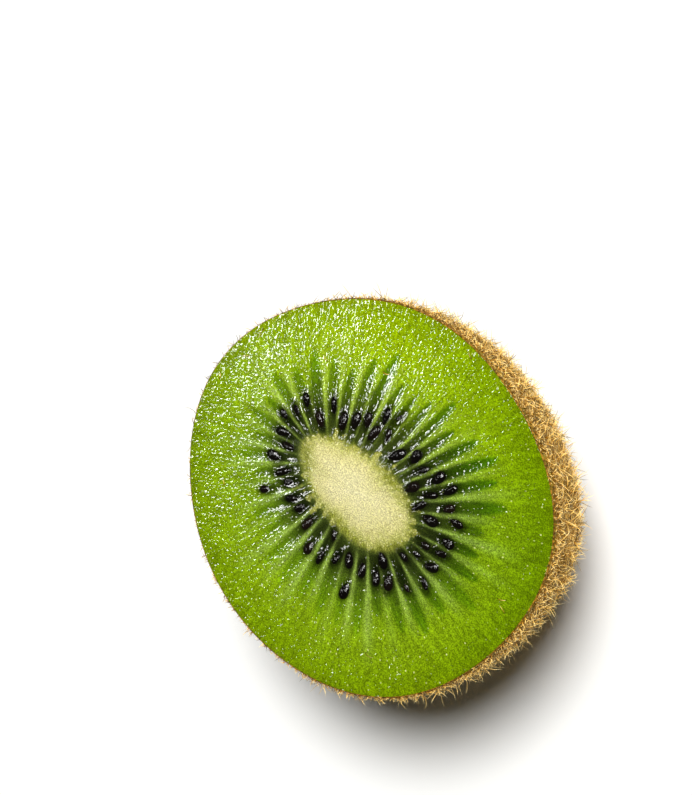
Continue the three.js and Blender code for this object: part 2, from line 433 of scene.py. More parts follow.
seeds = seed_places()
seed_middles = np.array([seed[0] for seed in seeds])
headings, seed_chambers, seed_rows = (np.array([seed[i] for seed in seeds]) for i in (1, 2, 3))
seed_headings = headings + mix(*SEED_TURNS, scatter(seed_chambers, 30 + seed_rows))
sizes = mix(*SEED_SIZES, scatter(seed_chambers, 10 + seed_rows))
breadths = mix(*SEED_BREADTHS, scatter(seed_chambers, 20 + seed_rows))
seed_scales = np.stack([SEED_LENGTH / 2 * sizes, SEED_WIDTH / 2 * sizes * breadths,
                        np.full(len(seeds), SEED_THICKNESS / 2)], axis=-1)
print(len(seeds), "seeds, mean length and width, mm:", np.round(2 * seed_scales.mean(axis=0)[:2], 2))

# %% [markdown]
# ## The cut face: flesh, chambers and core
#
# The knife leaves an almost flat face. The jelly of the seed chambers sinks a little, the pale
# walls between them stand up as fine ridges, some of them too weak to part their chambers, and
# the flesh bulges round each seed. On one side of the fruit, the deep side, the chambers are
# longer, blunter and darker. The relief is only a tenth of a millimetre high, but it bends the
# lamp's reflection, so it is real geometry: a fine grid in `place` and `share`, with its
# heights worked out for all points at once. The marks for the material are worked out on the
# same grid, so colour and relief can't part.

# %% Chamber pattern
CHAMBER_DEPTH, WALL_HEIGHT, SEED_BULGE, CORE_CROWN = 0.1, 0.03, 0.07, 0.25
DEEP_SIDE = math.radians(65)
CHAMBER_ENDS, DEEP_LONGER = (0.42, 0.66), 0.08  # shares of the ray
BLUNTNESS = (1.8, 3.6)  # of the shallow side and of the deep side
HALF_WIDTH, WEAKER = 0.4, 0.75
RAY_BEND = 0.16  # how far the swellings push a ray aside, in chambers
COLUMNS = 17 * CHAMBERS
FACE_ROWS, CORE_ROWS, HIDDEN_ROWS = 108, 24, 8
SKIN_THICKNESS = 0.18
NO_SEED_NEAR = 9.0


def growth_space(place, share):
    """Seamless coordinates in mm that follow the rays: `place` runs round a drum, and `share`
    along it. Patterns read in them stretch the way the flesh grew."""
    return lifted(DRUM_RADIUS * circle_point(2 * np.pi * place / CHAMBERS), share * DRUM_LENGTH)


def chamber_marks(place, share):
    """How far a point is in a chamber, on a wall between two, and in the sunken jelly. Across,
    a chamber is full in its middle and its walls lie half a step away. Along, it is a drop
    that narrows to a point. Each chamber has its own length and depth of colour."""
    drum = growth_space(place, share)
    bent = place + RAY_BEND * swellings(drum / (1, 1, 3), 5, 3) * smooth_step(0, 0.5, share)
    chamber = np.round(bent)
    off = np.abs(bent - chamber)
    chamber = chamber % CHAMBERS
    deep = 0.5 + 0.5 * np.cos(chamber_angle(chamber) - DEEP_SIDE)
    end = mix(*CHAMBER_ENDS, scatter(chamber, 40)) + DEEP_LONGER * deep
    narrowing = (share / end) ** mix(*BLUNTNESS, deep)
    width = HALF_WIDTH * np.sqrt(np.clip(1 - narrowing, 0, 1))
    weak = smooth_step(0.35, 0.85, scatter(np.floor(bent) % CHAMBERS, 43))
    wider = width + 0.15 * weak * (share < 0.6 * end)
    inside = smooth_step(-0.12, 0.14, wider - off) * smooth_step(0.0, 0.07, share)
    inside = inside * mix(0.72, 1.0, scatter(chamber, 41)) * (share < end)
    inside = inside * (1 - 0.5 * (1 - deep) * smooth_step(0.15, 0.4, share))
    sunk = smooth_step(-0.1, 0.5, width - off) * (share < end)
    reach = mix(0.62, 0.9, scatter(np.floor(bent) % CHAMBERS, 42))
    wall = np.exp(-((0.5 - off) / mix(0.08, 0.2, np.clip(share / 0.6, 0, 1))) ** 2)
    wall = wall * smooth_step(0.02, 0.2, share) * (1 - smooth_step(0.45 * reach, reach, share))
    wall = wall * (1 - WEAKER * weak)
    return inside, wall, sunk


def seed_distance(points):
    """The distance in mm from each point of the face to the edge of the nearest seed."""
    nearest = np.full(points.shape[:-1], NO_SEED_NEAR)
    for middle, heading, (length, width, _) in zip(seed_middles, seed_headings, seed_scales):
        along, across = turned(*np.moveaxis(points - middle, -1, 0), -heading)
        oval = np.hypot(along / length, across / width)
        nearest = np.minimum(nearest, (oval - 1) * width)
    return nearest


# %% Flesh surface
def flesh_rows():
    """Chamber number, share, core size and points of the face grid. Rows run from the rim in
    to the core's edge, where share is 0, and on to its middle while core size falls to 0."""
    place = np.arange(COLUMNS) * CHAMBERS / COLUMNS
    share = np.concatenate([[1], np.linspace(0.998, 0, FACE_ROWS - 1), np.zeros(CORE_ROWS)])
    core_size = np.concatenate([np.ones(FACE_ROWS),
                                1 - (np.arange(CORE_ROWS) + 1) / (CORE_ROWS + 1)])
    place, share = np.meshgrid(place, share)
    core_size = np.broadcast_to(core_size[:, None], place.shape)
    rim_in = 1 - SKIN_THICKNESS / (MEAN_RADIUS - CORE_WIDTH / 2)
    flat = ray_point(chamber_angle(place), share * rim_in)
    flat = mix(CORE_MIDDLE, flat, core_size[..., None])
    return place, share, core_size, flat


place, share, core_size, flat = flesh_rows()
inside, wall, sunk = (mark * (core_size == 1) for mark in chamber_marks(place, share))
near_seed = seed_distance(flat)
drum = growth_space(place, share)
spread = lifted(flat, 0.0)
outside = smooth_step(0.25, 0.6, share)
core_in = 1 - smooth_step(0.0, 0.06, share)
even_grain = np.maximum(outside, core_in)
ridges = mix(swellings(drum * (1, 1, 0.3), 0.5, 1), swellings(spread, 0.62, 2), even_grain)
height = (HALF_HEIGHT
          - CHAMBER_DEPTH * sunk * smooth_step(0, 0.15, share)
          + 0.035 * swellings(spread, 1.7, 6) * (1 - even_grain)
          + WALL_HEIGHT * wall
          + CORE_CROWN * core_in * (1 - core_size ** 2)
          + mix(0.02, 0.01, even_grain) * ridges
          + 0.06 * swellings(spread, 6.0, 5)
          + SEED_BULGE * np.exp(-(np.clip(near_seed, 0, None) / 0.2) ** 2) * (1 - core_in))
print("relief, mm:", np.round([height.min() - HALF_HEIGHT, height.max() - HALF_HEIGHT], 2))

# %% [markdown]
# The flesh needs an underside too. Light goes a millimetre or two into wet flesh and comes
# out again, and the renderer can only follow it inside a closed body. So the rings go on down
# the inside of the skin, as a plain smooth shape, and close under the middle.

# %% Side of the fruit, shared by flesh and skin
SIDE_FULLNESS = 2.1
EDGE_ROUND = 0.3
COLLAR_RADIUS = 6.0
GROOVE_RADIUS, GROOVE_DEPTH = 4.2, 0.8
PLUG_ROOT = GROOVE_DEPTH + 0.2
SKIN_UNEVENNESS = 0.28
COLLAR_SHARE = COLLAR_RADIUS / MEAN_RADIUS
POLE_DEPTH = HALF_HEIGHT / (1 - COLLAR_SHARE ** SIDE_FULLNESS) ** (1 / SIDE_FULLNESS)
LAST_TURN = math.acos(COLLAR_SHARE ** (SIDE_FULLNESS / 2))


def side_point(angle, turn):
    """The skin's outer surface. `turn` goes from 0 at the cut to 1 at the stalk collar. The
    outline shrinks as a power of the cosine of the turn while the depth grows as the same
    power of its sine: a superellipse. It turns from the oval to the collar's circle."""
    angle, turn = np.broadcast_arrays(angle, turn)
    size = np.cos(turn * LAST_TURN) ** (2 / SIDE_FULLNESS)
    depth = POLE_DEPTH * np.sin(turn * LAST_TURN) ** (2 / SIDE_FULLNESS)
    roundness = ((1 - size) / (1 - COLLAR_SHARE)) ** 2
    swelling = (SKIN_UNEVENNESS * np.sin(np.pi * turn) * np.sin(3 * angle + 4 * turn)
                * np.cos(2 * angle - 5 * turn))
    flat = mix(rim_point(angle), MEAN_RADIUS * circle_point(angle), roundness[..., None])
    return lifted(flat * (size * (1 + swelling / MEAN_RADIUS))[..., None], HALF_HEIGHT - depth)


def drawn_in(points, thickness):
    """The surface moved inward by about `thickness`: shrunk towards the middle of the cut,
    and kept above the groove of the stalk end."""
    inward = FACE_MIDDLE + (points - FACE_MIDDLE) * (1 - thickness / MEAN_RADIUS)
    return np.maximum(inward, (-np.inf, -np.inf, PLUG_ROOT + thickness))


# %% Rings of the flesh
hidden_turns = np.linspace(1, 0.03, HIDDEN_ROWS)[:, None]
hidden = drawn_in(side_point(chamber_angle(place[:1]), hidden_turns), SKIN_THICKNESS + 0.05)
rings = np.concatenate([hidden, lifted(flat, height)])
squares, triangles = ring_faces(*rings.shape[:2], flip=True)
poles = [hidden[0].mean(axis=0), (*CORE_MIDDLE, height[-1].mean())]
flesh_points = np.concatenate([rings.reshape(-1, 3), poles])
print("flesh from", np.round(flesh_points[:, 2].min(), 2), "mm up")


# %% Marks on the flesh
def with_hidden(values, value=0.0):
    """Marks for all points: `value` on the hidden rings, and the poles as the rows by them."""
    rows = np.concatenate([np.full((HIDDEN_ROWS, COLUMNS), value), values])
    return np.concatenate([rows.ravel(), [value, values[-1].mean()]])


core_mark = np.where(core_size < 1, core_size, 1 + share)
teeth = np.cos(2 * np.pi * place) * (1 + 0.7 * swellings(drum * (1, 1, 0), 1.2, 9))
core_mark = (core_mark + 0.025 * teeth + 0.06 * swellings(spread, 1.3, 7)
             + 0.05 * swellings(spread, 0.45, 8)
             - lobes(chamber_angle(place), CORE_CORNERS) * np.where(core_size < 1, 1, 0.27))
flesh_marks = {
    "share": with_hidden(share, 1.0),
    "jelly": with_hidden(share * (1 - 0.16 * np.cos(chamber_angle(place) - DEEP_SIDE)), 1.0),
    "chamber": with_hidden(inside),
    "wall": with_hidden(wall),
    "core": with_hidden(core_mark),
    "seed_gap": with_hidden(near_seed, NO_SEED_NEAR),
    "growth": np.concatenate([np.tile(drum[0], (HIDDEN_ROWS, 1)), drum.reshape(-1, 3),
                              drum[[0, -1], 0]]),
}

# %% Flesh mesh
behind = np.isin(np.arange(len(flesh_points)), [*range(HIDDEN_ROWS * COLUMNS), rings[..., 0].size])
map_points = flesh_points[:, :2] * 2 * HALF_MAP / FACE_LENGTH
flesh_places = corner_places(squares, triangles, map_points, behind)
flesh = make_piece("flesh", flesh_points, squares, triangles, flesh_marks, flesh_places)
# The strip that joins face and underside is a sharp edge, so it stays flat-shaded.
smooth = np.ones(len(flesh.data.polygons), bool)
smooth[(HIDDEN_ROWS - 1) * COLUMNS:HIDDEN_ROWS * COLUMNS] = False
flesh.data.polygons.foreach_set("use_smooth", smooth)

# %% [markdown]
# ### The material: wet kiwi flesh
#
# Flesh is water in thin-walled cells, coloured by chlorophyll. Light sinks in and scatters,
# so green and red come out softened, while blue is swallowed at once. Two ramps along the ray
# give the walls with the outer flesh and the dark jelly of the chambers, mixed by the chamber
# mark, and a third one colours the core, whose mark has blunt corners and teeth. Fine noises
# make the grain. Pale dashes are the needle crystals that a kiwi really has, and they also serve
# as painted highlights for glints too fine to draw; the pale dots of the core are painted
# highlights on its domes. The jelly round each seed is darkened: a painted shadow.
#
# Juice lies on it as a clear film: that is the coat, with the refractive index of sugar
# water. It bulges over each cell, and every bulge holds a glint of the key lamp, so the coat's
# own bump is a pattern of domes. They are 0.3 to 0.4 mm wide, coarser than the finest real
# cells, which no picture would show, and long along the rays inside the chambers.

# %% Flesh material
TOWARDS_DARKER_SIDE, TOWARDS_YELLOWER_SIDE = (0.706, 0.708, 0.0), (-0.4, 0.92, 0.0)


def flesh_surface(add):
    """Colours along the rays, grain, a tint to two sides, painted shadow round the seeds, pale specks
    that are partly painted highlights, and a coat of juice with domes.
    """
    share, jelly_share, chamber, wall, core_mark, seed_gap = (
        add("Attribute", attribute_name=name).outputs[2]
        for name in ("share", "jelly", "chamber", "wall", "core", "seed_gap"))
    growth = add("Attribute", attribute_name="growth").outputs[1]
    place = add("TexCoord").outputs["Object"]
    darker_side, yellower_side = (add("VectorMath", (place, towards), operation="DOT_PRODUCT")
                           for towards in (TOWARDS_DARKER_SIDE, TOWARDS_YELLOWER_SIDE))
    in_core = add("MapRange", (core_mark, 0.99, 1.03, 1.0, 0.0), interpolation_type="SMOOTHSTEP")
    outer_part = add("MapRange", (share, 0.35, 0.6, 0.0, 1.0))

    # Colours along a ray.
    walls = add("ValToRGB", (share,), stops=[
        (0.0, "767a2c"), (1.0, "607602"), (0.05, "4a5620"), (0.15, "485820"), (0.25, "54681c"),
        (0.36, "5f7a10"), (0.5, "6a860a"), (0.64, "6f8a0a"), (0.78, "6c8706"), (0.93, "647e02")])
    jelly = add("ValToRGB", (jelly_share,), stops=[
        (0.0, "363e0e"), (1.0, "607602"), (0.05, "242e0a"), (0.18, "121a04"), (0.28, "1a2a02"),
        (0.36, "223a02"), (0.46, "2e5002"), (0.56, "3c6402"), (0.7, "547a02")])
    core = add("ValToRGB", (core_mark,), stops=[
        (0.0, "c0b98c"), (1.0, "7e8034"), (0.5, "bab37f"), (0.76, "aea86c"), (0.9, "989850")])

    # Patterns stretched along the rays, then plain ones. Scales count cells in a metre.
    *cell_spaces, streak_space = (
        add("VectorMath", (growth, stretch), operation="MULTIPLY")
        for stretch in ((2.5, 2.5, 0.5), (3.5, 3.5, 1.4), (2.6, 2.6, 1.2), (2.6, 2.6, 0.4)))
    long_cells, juice_cells, crystals = (
        add("TexVoronoi", {"Vector": space, "Scale": 1.0}) for space in cell_spaces)
    core_cells = add("TexVoronoi", {"Vector": place, "Scale": 3300.0})
    streaks = add("TexNoise", {
        "Vector": streak_space, "Scale": 1.0, "Detail": 3.0, "Roughness": 0.6})
    patches, uneven, cells, grain = (
        add("TexNoise", {"Vector": place, "Scale": scale, "Detail": detail})
        for scale, detail in ((260.0, 2.0), (2400.0, 0.0), (4200.0, 2.0), (7000.0, 0.0)))

    # The film's domes: uneven, and flatter near the core and on the darker side.
    domes = []
    for pattern, film, thinner in (
            (long_cells, (-0.03, -0.1), [(share, 0.05, 0.5, 0.35, 1.0)]),
            (juice_cells, (-0.01, -0.088), [(share, 0.4, 0.9, 0.5, 1.0),
                                            (darker_side, -0.01, 0.02, 1.0, 0.5)]),
            (core_cells, (-0.055, -0.055), [])):
        height = add("MapRange", (uneven, 0.35, 0.65, *film))
        factors = [add("MapRange", places) for places in thinner]
        factors.append(add("Math", (pattern, 2.0), operation="POWER"))
        for factor in factors:
            height = add("Math", (height, factor), operation="MULTIPLY")
        domes.append(height)
    relief = add("Mix", {0: outer_part, 2: domes[0], 3: domes[1]})
    relief = add("Mix", {0: in_core, 2: relief, 3: domes[2]})

    # Body colour, and the grain that makes it lighter and darker.
    body = add("Mix", {0: chamber, 6: walls, 7: jelly}, data_type="RGBA")
    pale = add("Math", (wall, 0.65), operation="MULTIPLY")
    body = add("Mix", {0: pale, 6: body, 7: colour("88a046")}, data_type="RGBA")
    cell_edge = add("Mix", {0: outer_part, 2: long_cells, 3: juice_cells})
    light = add("MapRange", (cell_edge, 0.2, 0.6, 1.05, 0.9))
    for lightness in ((streaks, 0.36, 0.64, 0.82, 1.2), (cells, 0.34, 0.66, 0.86, 1.14),
                      (patches, 0.36, 0.64, 0.95, 1.06), (grain, 0.3, 0.7, 0.62, 1.4)):
        light = add("Math", (light, add("MapRange", lightness)), operation="MULTIPLY")
    core_light = add("MapRange", (grain, 0.32, 0.68, 0.68, 1.34))
    grained, core_grained = (add("VectorMath", {0: plain, 3: lit}, operation="SCALE")
                             for plain, lit in ((body, light), (core, core_light)))
    tone = add("Mix", {0: in_core, 6: grained, 7: core_grained}, data_type="RGBA")

    # Lighter and yellower towards one side, darker and deeper green towards the other; then the painted
    # shadow round the seeds.
    # These tints change colour by direction across the face: one side lighter, the other darker.
    for side, tint in (((yellower_side, 0.002, 0.022, 0.0, 1.0), (1.5, 1.38, 0.4)),
                       ((darker_side, 0.008, 0.024, 0.0, 1.0), (0.8, 0.87, 0.7))):
        tinted = add("VectorMath", (tone, tint), operation="MULTIPLY")
        tone = add("Mix", {0: add("MapRange", side), 6: tone, 7: tinted}, data_type="RGBA")
    # Painted shadow: the colour darkens in the jelly next to each seed, as in the seed's shade.
    shade = add("MapRange", (seed_gap, -0.1, 0.45, 0.35, 1.0), interpolation_type="SMOOTHSTEP")
    tone = add("VectorMath", {0: tone, 3: shade}, operation="SCALE")

    # Needle crystals beyond the seeds, of which some cells have more, drawn also as painted highlights
    # for glints too fine for the domes, and pale core grains: painted highlights on the middles of the
    # core's domes.
    needles_and_painted_glints = add("MapRange", (crystals, 0.08, 0.2, 1.0, 0.0))
    which = add("SeparateColor", (crystals.outputs[1],))
    for amount in ((which, 0.4, 1.0, 0.0, 0.7), (share, 0.15, 0.5, 0.0, 1.0)):
        needles_and_painted_glints = add("Math", (needles_and_painted_glints, add("MapRange", amount)), operation="MULTIPLY")
    core_painted_glints = add("MapRange", (core_cells, 0.15, 0.35, 0.5, 0.0))
    specks = add("Mix", {0: in_core, 2: needles_and_painted_glints, 3: core_painted_glints})
    tone = add("Mix", {0: specks, 6: tone, 7: colour("ecea9c")}, data_type="RGBA")

    return add("BsdfPrincipled", {
        "Base Color": tone, "Roughness": 0.42, "IOR": 1.38, "Specular IOR Level": 0.0,
        "Subsurface Weight": 0.25, "Subsurface Radius": (0.9, 1.0, 0.25),
        "Subsurface Scale": 0.0004,
        "Coat Weight": 1.0, "Coat Roughness": 0.07, "Coat IOR": 1.42,
        "Coat Normal": add("Bump", {"Distance": 0.001, "Height": relief})})


flesh.data.materials.append(make_material("wet_kiwi_flesh", flesh_surface))
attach(flesh, "root")
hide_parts(NODE)

# %% [markdown]
# ## Seeds
#
# A kiwi seed is a small flattened drop with a hard, glossy, black-brown coat, its pointed end
# towards the core. A ball drawn in latitude and longitude becomes one when its breadth grows
# from one pole to the other. One ball is worked out, and numpy copies, turns and sizes it to
# all seeds at once.

# %% Seed mesh
SEED_RINGS, SEED_SIDES = 9, 14


def seed_ball():
    """Points of one drop of unit length along X: rings between two poles, each ring's radius
    the sine of its latitude times a taper that grows towards +X."""
    latitude = np.linspace(0, np.pi, SEED_RINGS + 2)[1:-1, None]
    longitude = ring_angles(SEED_SIDES)
    x = -np.cos(latitude) + 0 * longitude
    radius = np.sin(latitude) * (1 + SEED_TAPER * x)
    rings = np.stack([x, radius * np.cos(longitude), radius * np.sin(longitude)], axis=-1)
    return np.concatenate([rings.reshape(-1, 3), [(-1, 0, 0), (1, 0, 0)]])


ball = seed_ball()
x, y, z = np.moveaxis(ball * seed_scales[:, None], -1, 0)
x, z = turned(x, z, mix(*SEED_PITCHES, scatter(seed_chambers, 50 + seed_rows))[:, None])
x, y = turned(x, y, seed_headings[:, None])
sinks = mix(*SEED_SINKS, scatter(seed_chambers, 53 + seed_rows))[:, None]
seed_points = np.stack([x + seed_middles[:, :1], y + seed_middles[:, 1:],
                        z + sinks + HALF_HEIGHT], axis=-1)
seed_faces = copied(ring_faces(SEED_RINGS, SEED_SIDES, flip=True), len(seeds), len(ball))
seed_marks = {"which": np.repeat(scatter(np.arange(len(seeds)), 60), len(ball))}
seed_piece = make_piece("seeds", seed_points.reshape(-1, 3), *seed_faces, seed_marks)

# %% [markdown]
# ### The material: wet seed coat
#
# The coat of a ripe seed is nearly black with a brown cast, hard and smooth, and wet with
# juice. It takes a sharp highlight, so its roughness is low. Shallow pits 0.4 mm apart break
# that highlight up.

# %% Seed material
def seed_surface(add):
    """Black-brown, a little different for each seed, with shallow pits."""
    which = add("Attribute", attribute_name="which").outputs[2]
    tint = add("ValToRGB", (which,), stops=[
        (0.0, "060404"), (1.0, "140c08"), (0.6, "090605")])
    pits = add("TexNoise", {
        "Vector": add("TexCoord").outputs["Object"], "Scale": 2400.0, "Detail": 2.0})
    return add("BsdfPrincipled", {
        "Base Color": tint, "Roughness": 0.09, "IOR": 1.4,
        "Normal": add("Bump", {"Distance": 0.00016, "Height": pits})})


seed_piece.data.materials.append(make_material("wet_seed_coat", seed_surface))
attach(seed_piece, "root")
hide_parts(NODE)

# %% [markdown]
# ## Skin
#
# The skin is a thin dry bark of dead cells, brown, with low dents all over. It is a shell: the
# outer surface goes from the cut edge down to the ring groove of the stalk end, and the inner
# wall, kept above that groove, comes back up, so that the cut edge shows as a fine brown line
# round the flesh. One side is rubbed, as on fruits that lay against each other. The marks say
# how far a point is below the cut, how thin the brown is there, and how near the stalk it is.

# %% Rings of the skin
SKIN_COLUMNS, SKIN_ROWS, INNER_ROWS = 456, 150, 12
LIP = np.array([0, 0, 0.24])  # how far the cut edge rounds up over the outer surface

skin_angle = chamber_angle(np.arange(SKIN_COLUMNS) * CHAMBERS / SKIN_COLUMNS)
turns = np.linspace(0, 1, SKIN_ROWS)[:, None]
outer = side_point(skin_angle[None], turns)
dents = swellings(outer, 2.6, 11) * 0.06 + swellings(outer, 0.9, 12) * 0.03
fade = (np.sin(np.pi * turns) ** 0.5)[..., None]
outer = outer + dents[..., None] * fade * unit(outer - FACE_MIDDLE)
outer[0, :, 2] = HALF_HEIGHT - EDGE_ROUND
ragged = swellings(outer[0], 0.5, 13)[:, None]
lip = [drawn_in(outer[0], 0.05) + LIP,
       drawn_in(outer[0], SKIN_THICKNESS) + LIP + ragged * (0, 0, 0.06)]
stalk_rings = [lifted(radius * circle_point(skin_angle), height) for radius, height in (
    (2.2, GROOVE_DEPTH), (GROOVE_RADIUS - 0.3, GROOVE_DEPTH), (GROOVE_RADIUS, 0.4),
    (GROOVE_RADIUS + 0.35, 0.06), (GROOVE_RADIUS + 0.9, 0.0))]
inner_turns = np.linspace(1, 0.02, INNER_ROWS)[:, None]
inner = drawn_in(side_point(skin_angle[None], inner_turns), SKIN_THICKNESS)
skin_rings = np.concatenate([stalk_rings, outer[::-1], lip, inner[::-1]])
squares, triangles = ring_faces(*skin_rings.shape[:2], flip=True)
poles = [(0, 0, GROOVE_DEPTH), inner[0].mean(axis=0)]
skin_points = np.concatenate([skin_rings.reshape(-1, 3), poles])
print("dents of the skin, mm:", np.round([dents.min(), dents.max()], 2))

# %% Marks on the skin
RUBBED_SIDE = math.radians(185)

below_cut = np.clip(HALF_HEIGHT - skin_points[:, 2], 0, None)
point_angle = np.arctan2(skin_points[:, 1], skin_points[:, 0])
uneven_edge = below_cut + 3 * swellings(skin_points, 4.0, 15) + swellings(skin_points, 1.2, 16)
worn = (smooth_step(0.0, 0.9, np.cos(point_angle - RUBBED_SIDE))
        * (1 - smooth_step(2, 16, uneven_edge)))
thin = np.maximum(worn, 0.35 * (1 - smooth_step(0.3, 2.5, uneven_edge)))
from_stalk = np.hypot(skin_points[:, 0], skin_points[:, 1]) + 0.5 * swellings(skin_points, 1.5, 17)
corky = (1 - smooth_step(3.9, 6.2, from_stalk)) * (skin_points[:, 2] < 2)
print(f"{np.mean(worn > 0.5):.0%} of the skin is rubbed")

# %% Skin mesh
seen_rows = len(skin_rings) - INNER_ROWS
row_size = HALF_MAP * np.concatenate([(np.arange(seen_rows) + 1) / seen_rows,
                                      1 - (np.arange(INNER_ROWS) + 1) / (INNER_ROWS + 1)])
ring_places = row_size[:, None, None] * circle_point(skin_angle)
behind = np.arange(len(skin_points)) >= seen_rows * SKIN_COLUMNS
behind[-2] = False
skin_places = corner_places(squares, triangles, np.concatenate(
    [ring_places.reshape(-1, 2), np.zeros((2, 2))]), behind)
skin = make_piece("skin", skin_points, squares, triangles,
                  {"below_cut": below_cut, "thin": thin, "corky": corky}, skin_places)

# %% [markdown]
# ### The material: dry brown skin
#
# Cork-like cells make the skin a dull tan, blotched with darker brown, with dark specks about
# 0.4 mm apart. Near the cut and on the rubbed side the green flesh shines through. Round the
# stalk the skin is dark cork.

# %% Skin material
def skin_surface(add):
    """Blotched tan, green where it is thin, cork at the stalk, and a brown cut edge."""
    place = add("TexCoord").outputs["Object"]
    depth, thin, corky = (add("Attribute", attribute_name=name).outputs[2]
                          for name in ("below_cut", "thin", "corky"))
    blotches, specks, rim_noise, grain = (
        add("TexNoise", {"Vector": place, "Scale": scale, "Detail": detail})
        for scale, detail in ((190.0, 4.0), (2300.0, 2.0), (3000.0, 2.0), (5200.0, 0.0)))
    tone = add("ValToRGB", (blotches,), stops=[
        (0.3, "543e08"), (0.7, "b0863a"), (0.5, "82621a")])
    speck = add("MapRange", (specks, 0.53, 0.62, 0.0, 0.85))
    for amount, hex_code in ((thin, "7c7c10"), (corky, "3e240e"), (speck, "46280a")):
        tone = add("Mix", {0: amount, 6: tone, 7: colour(hex_code)}, data_type="RGBA")
    grain_light = add("MapRange", (grain, 0.3, 0.7, 0.65, 1.35))
    dotted = add("VectorMath", {0: tone, 3: grain_light}, operation="SCALE")
    edge = add("MapRange", (depth, 0.1, 0.35, 0.8, 0.0))
    rim_tone = add("ValToRGB", (rim_noise,), stops=[
        (0.36, "301c04"), (0.64, "b47e24"), (0.5, "6e4a10")])
    rimmed = add("Mix", {0: edge, 6: dotted, 7: rim_tone}, data_type="RGBA")
    bump = add("Bump", {"Strength": 0.6, "Distance": 0.00025, "Height": specks})
    return add("BsdfPrincipled", {
        "Base Color": rimmed, "Roughness": 0.75, "Specular IOR Level": 0.15, "Normal": bump})


skin.data.materials.append(make_material("dry_kiwi_skin", skin_surface))
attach(skin, "root")
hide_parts(NODE)

# %% [markdown]
# ## Stalk scar
#
# Where the fruit hung from its stalk, a woody plug is left in a ring groove. It is a low disc
# whose edge is notched into lobes, and its face is cracked dry wood. Its root goes up through
# the groove's floor into the skin, so no gap opens round it.

# %% Stalk scar mesh
SCAR_RADIUS, SCAR_COLUMNS, SCAR_ROWS = 3.1, 120, 26
LOWEST = 0.02  # the plug ends just above the floor


def scar_rings():
    """A notched disc that hangs down into the groove: the radius shrinks by a few sharp
    waves of the angle, and the face is roughened by swellings. It starts inside the skin."""
    angle = ring_angles(SCAR_COLUMNS)
    size = np.linspace(1, 0.04, SCAR_ROWS)[:, None]
    notch = (1 - 0.16 * np.abs(np.sin(2.5 * angle + 0.6)) ** 6
             - 0.1 * np.abs(np.sin(3.5 * angle)) ** 8)
    radius = SCAR_RADIUS * size * notch
    flat = circle_point(angle, radius, radius)
    rough = 0.5 + 0.5 * swellings(lifted(flat, 0.0), 0.7, 21)
    crack = np.exp(-(np.sin(1.5 * angle + 2 * size) / 0.12) ** 2) * smooth_step(0.05, 0.3, size)
    low = (LOWEST + 0.28 * rough * smooth_step(0, 0.3, size) + 0.3 * crack
           + 0.35 * smooth_step(0.85, 1, size))
    return np.concatenate([lifted(flat[:1], PLUG_ROOT), lifted(flat, low)])


scar = scar_rings()
scar_points = np.concatenate([scar.reshape(-1, 3), [(0, 0, PLUG_ROOT), (0, 0, LOWEST)]])
scar_piece = make_piece("stalk_scar", scar_points, *ring_faces(*scar.shape[:2]))

# %% [markdown]
# ### The material: dry stalk wood
#
# Weathered plant fibre: brown, dull and rough, in darker and paler patches about 0.7 mm across
# with finer ones in them.

# %% Stalk scar material
def scar_surface(add):
    """Patchy brown wood, dull and rough."""
    fibres = add("TexNoise", {
        "Vector": add("TexCoord").outputs["Object"], "Scale": 1500.0, "Detail": 4.0})
    tint = add("ValToRGB", (fibres,), stops=[
        (0.3, "2e1c0e"), (0.7, "a8804c"), (0.5, "6c4c2a")])
    bump = add("Bump", {"Strength": 0.8, "Distance": 0.0002, "Height": fibres})
    return add("BsdfPrincipled", {"Base Color": tint, "Roughness": 0.85, "Normal": bump})


scar_piece.data.materials.append(make_material("dry_stalk_wood", scar_surface))
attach(scar_piece, "root")
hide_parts(NODE)

# %% [markdown]
# ## Fuzz
#
# The skin is covered with stiff hairs, 0.4 to 3.5 mm long, about six to a square millimetre.
# They are real hairs here, because at the edge of the fruit each one is seen against the
# light. A real one is finer than a tenth of a millimetre, and these are drawn 0.08 mm thick so
# that each still shows. A hair is a three-sided arc with a closed root and tip, 22 triangles,
# and all hairs of a lot are worked out together: roots spread over the skin by a golden-angle
# spiral, fewer on a rubbed side, and directions combed by a smooth field so that they form
# tufts. Long hairs lie, shorter ones stand, the shortest lean every way, and a fringe of them
# follows the cut edge.

# %% Hair roots
GOLDEN_ANGLE = 2.399963
BANDS = 400


def skin_frame(angle, turn):
    """Points of the skin with their outward normals and their downhill directions, from small
    steps along both parameters."""
    step = 1e-3
    here = side_point(angle, turn)
    round_step = side_point(angle + step, turn) - here
    down_step = side_point(angle, turn + step) - here
    return here, unit(np.cross(down_step, round_step)), unit(down_step)


def even_roots(count, first_turn, last_turn, draw):
    """Angles and turns of `count` hair roots. Turns are drawn so that every band of the skin
    gets its share of area, and angles step by the golden angle with a little scatter."""
    fine = np.linspace(first_turn, last_turn, BANDS)
    path = side_point(0.0, fine)
    radius = np.linalg.norm(path[:, :2], axis=-1)
    arc = np.concatenate([[0], np.linalg.norm(np.diff(path, axis=0), axis=-1)])
    area = np.cumsum(radius * arc)
    item = np.arange(count)
    spread = (item + scatter(item, draw)) / count
    turn = np.interp(spread * area[-1], area, fine)
    angle = item * GOLDEN_ANGLE + 0.4 * scatter(item, draw + 1)
    return np.mod(angle, 2 * np.pi), turn


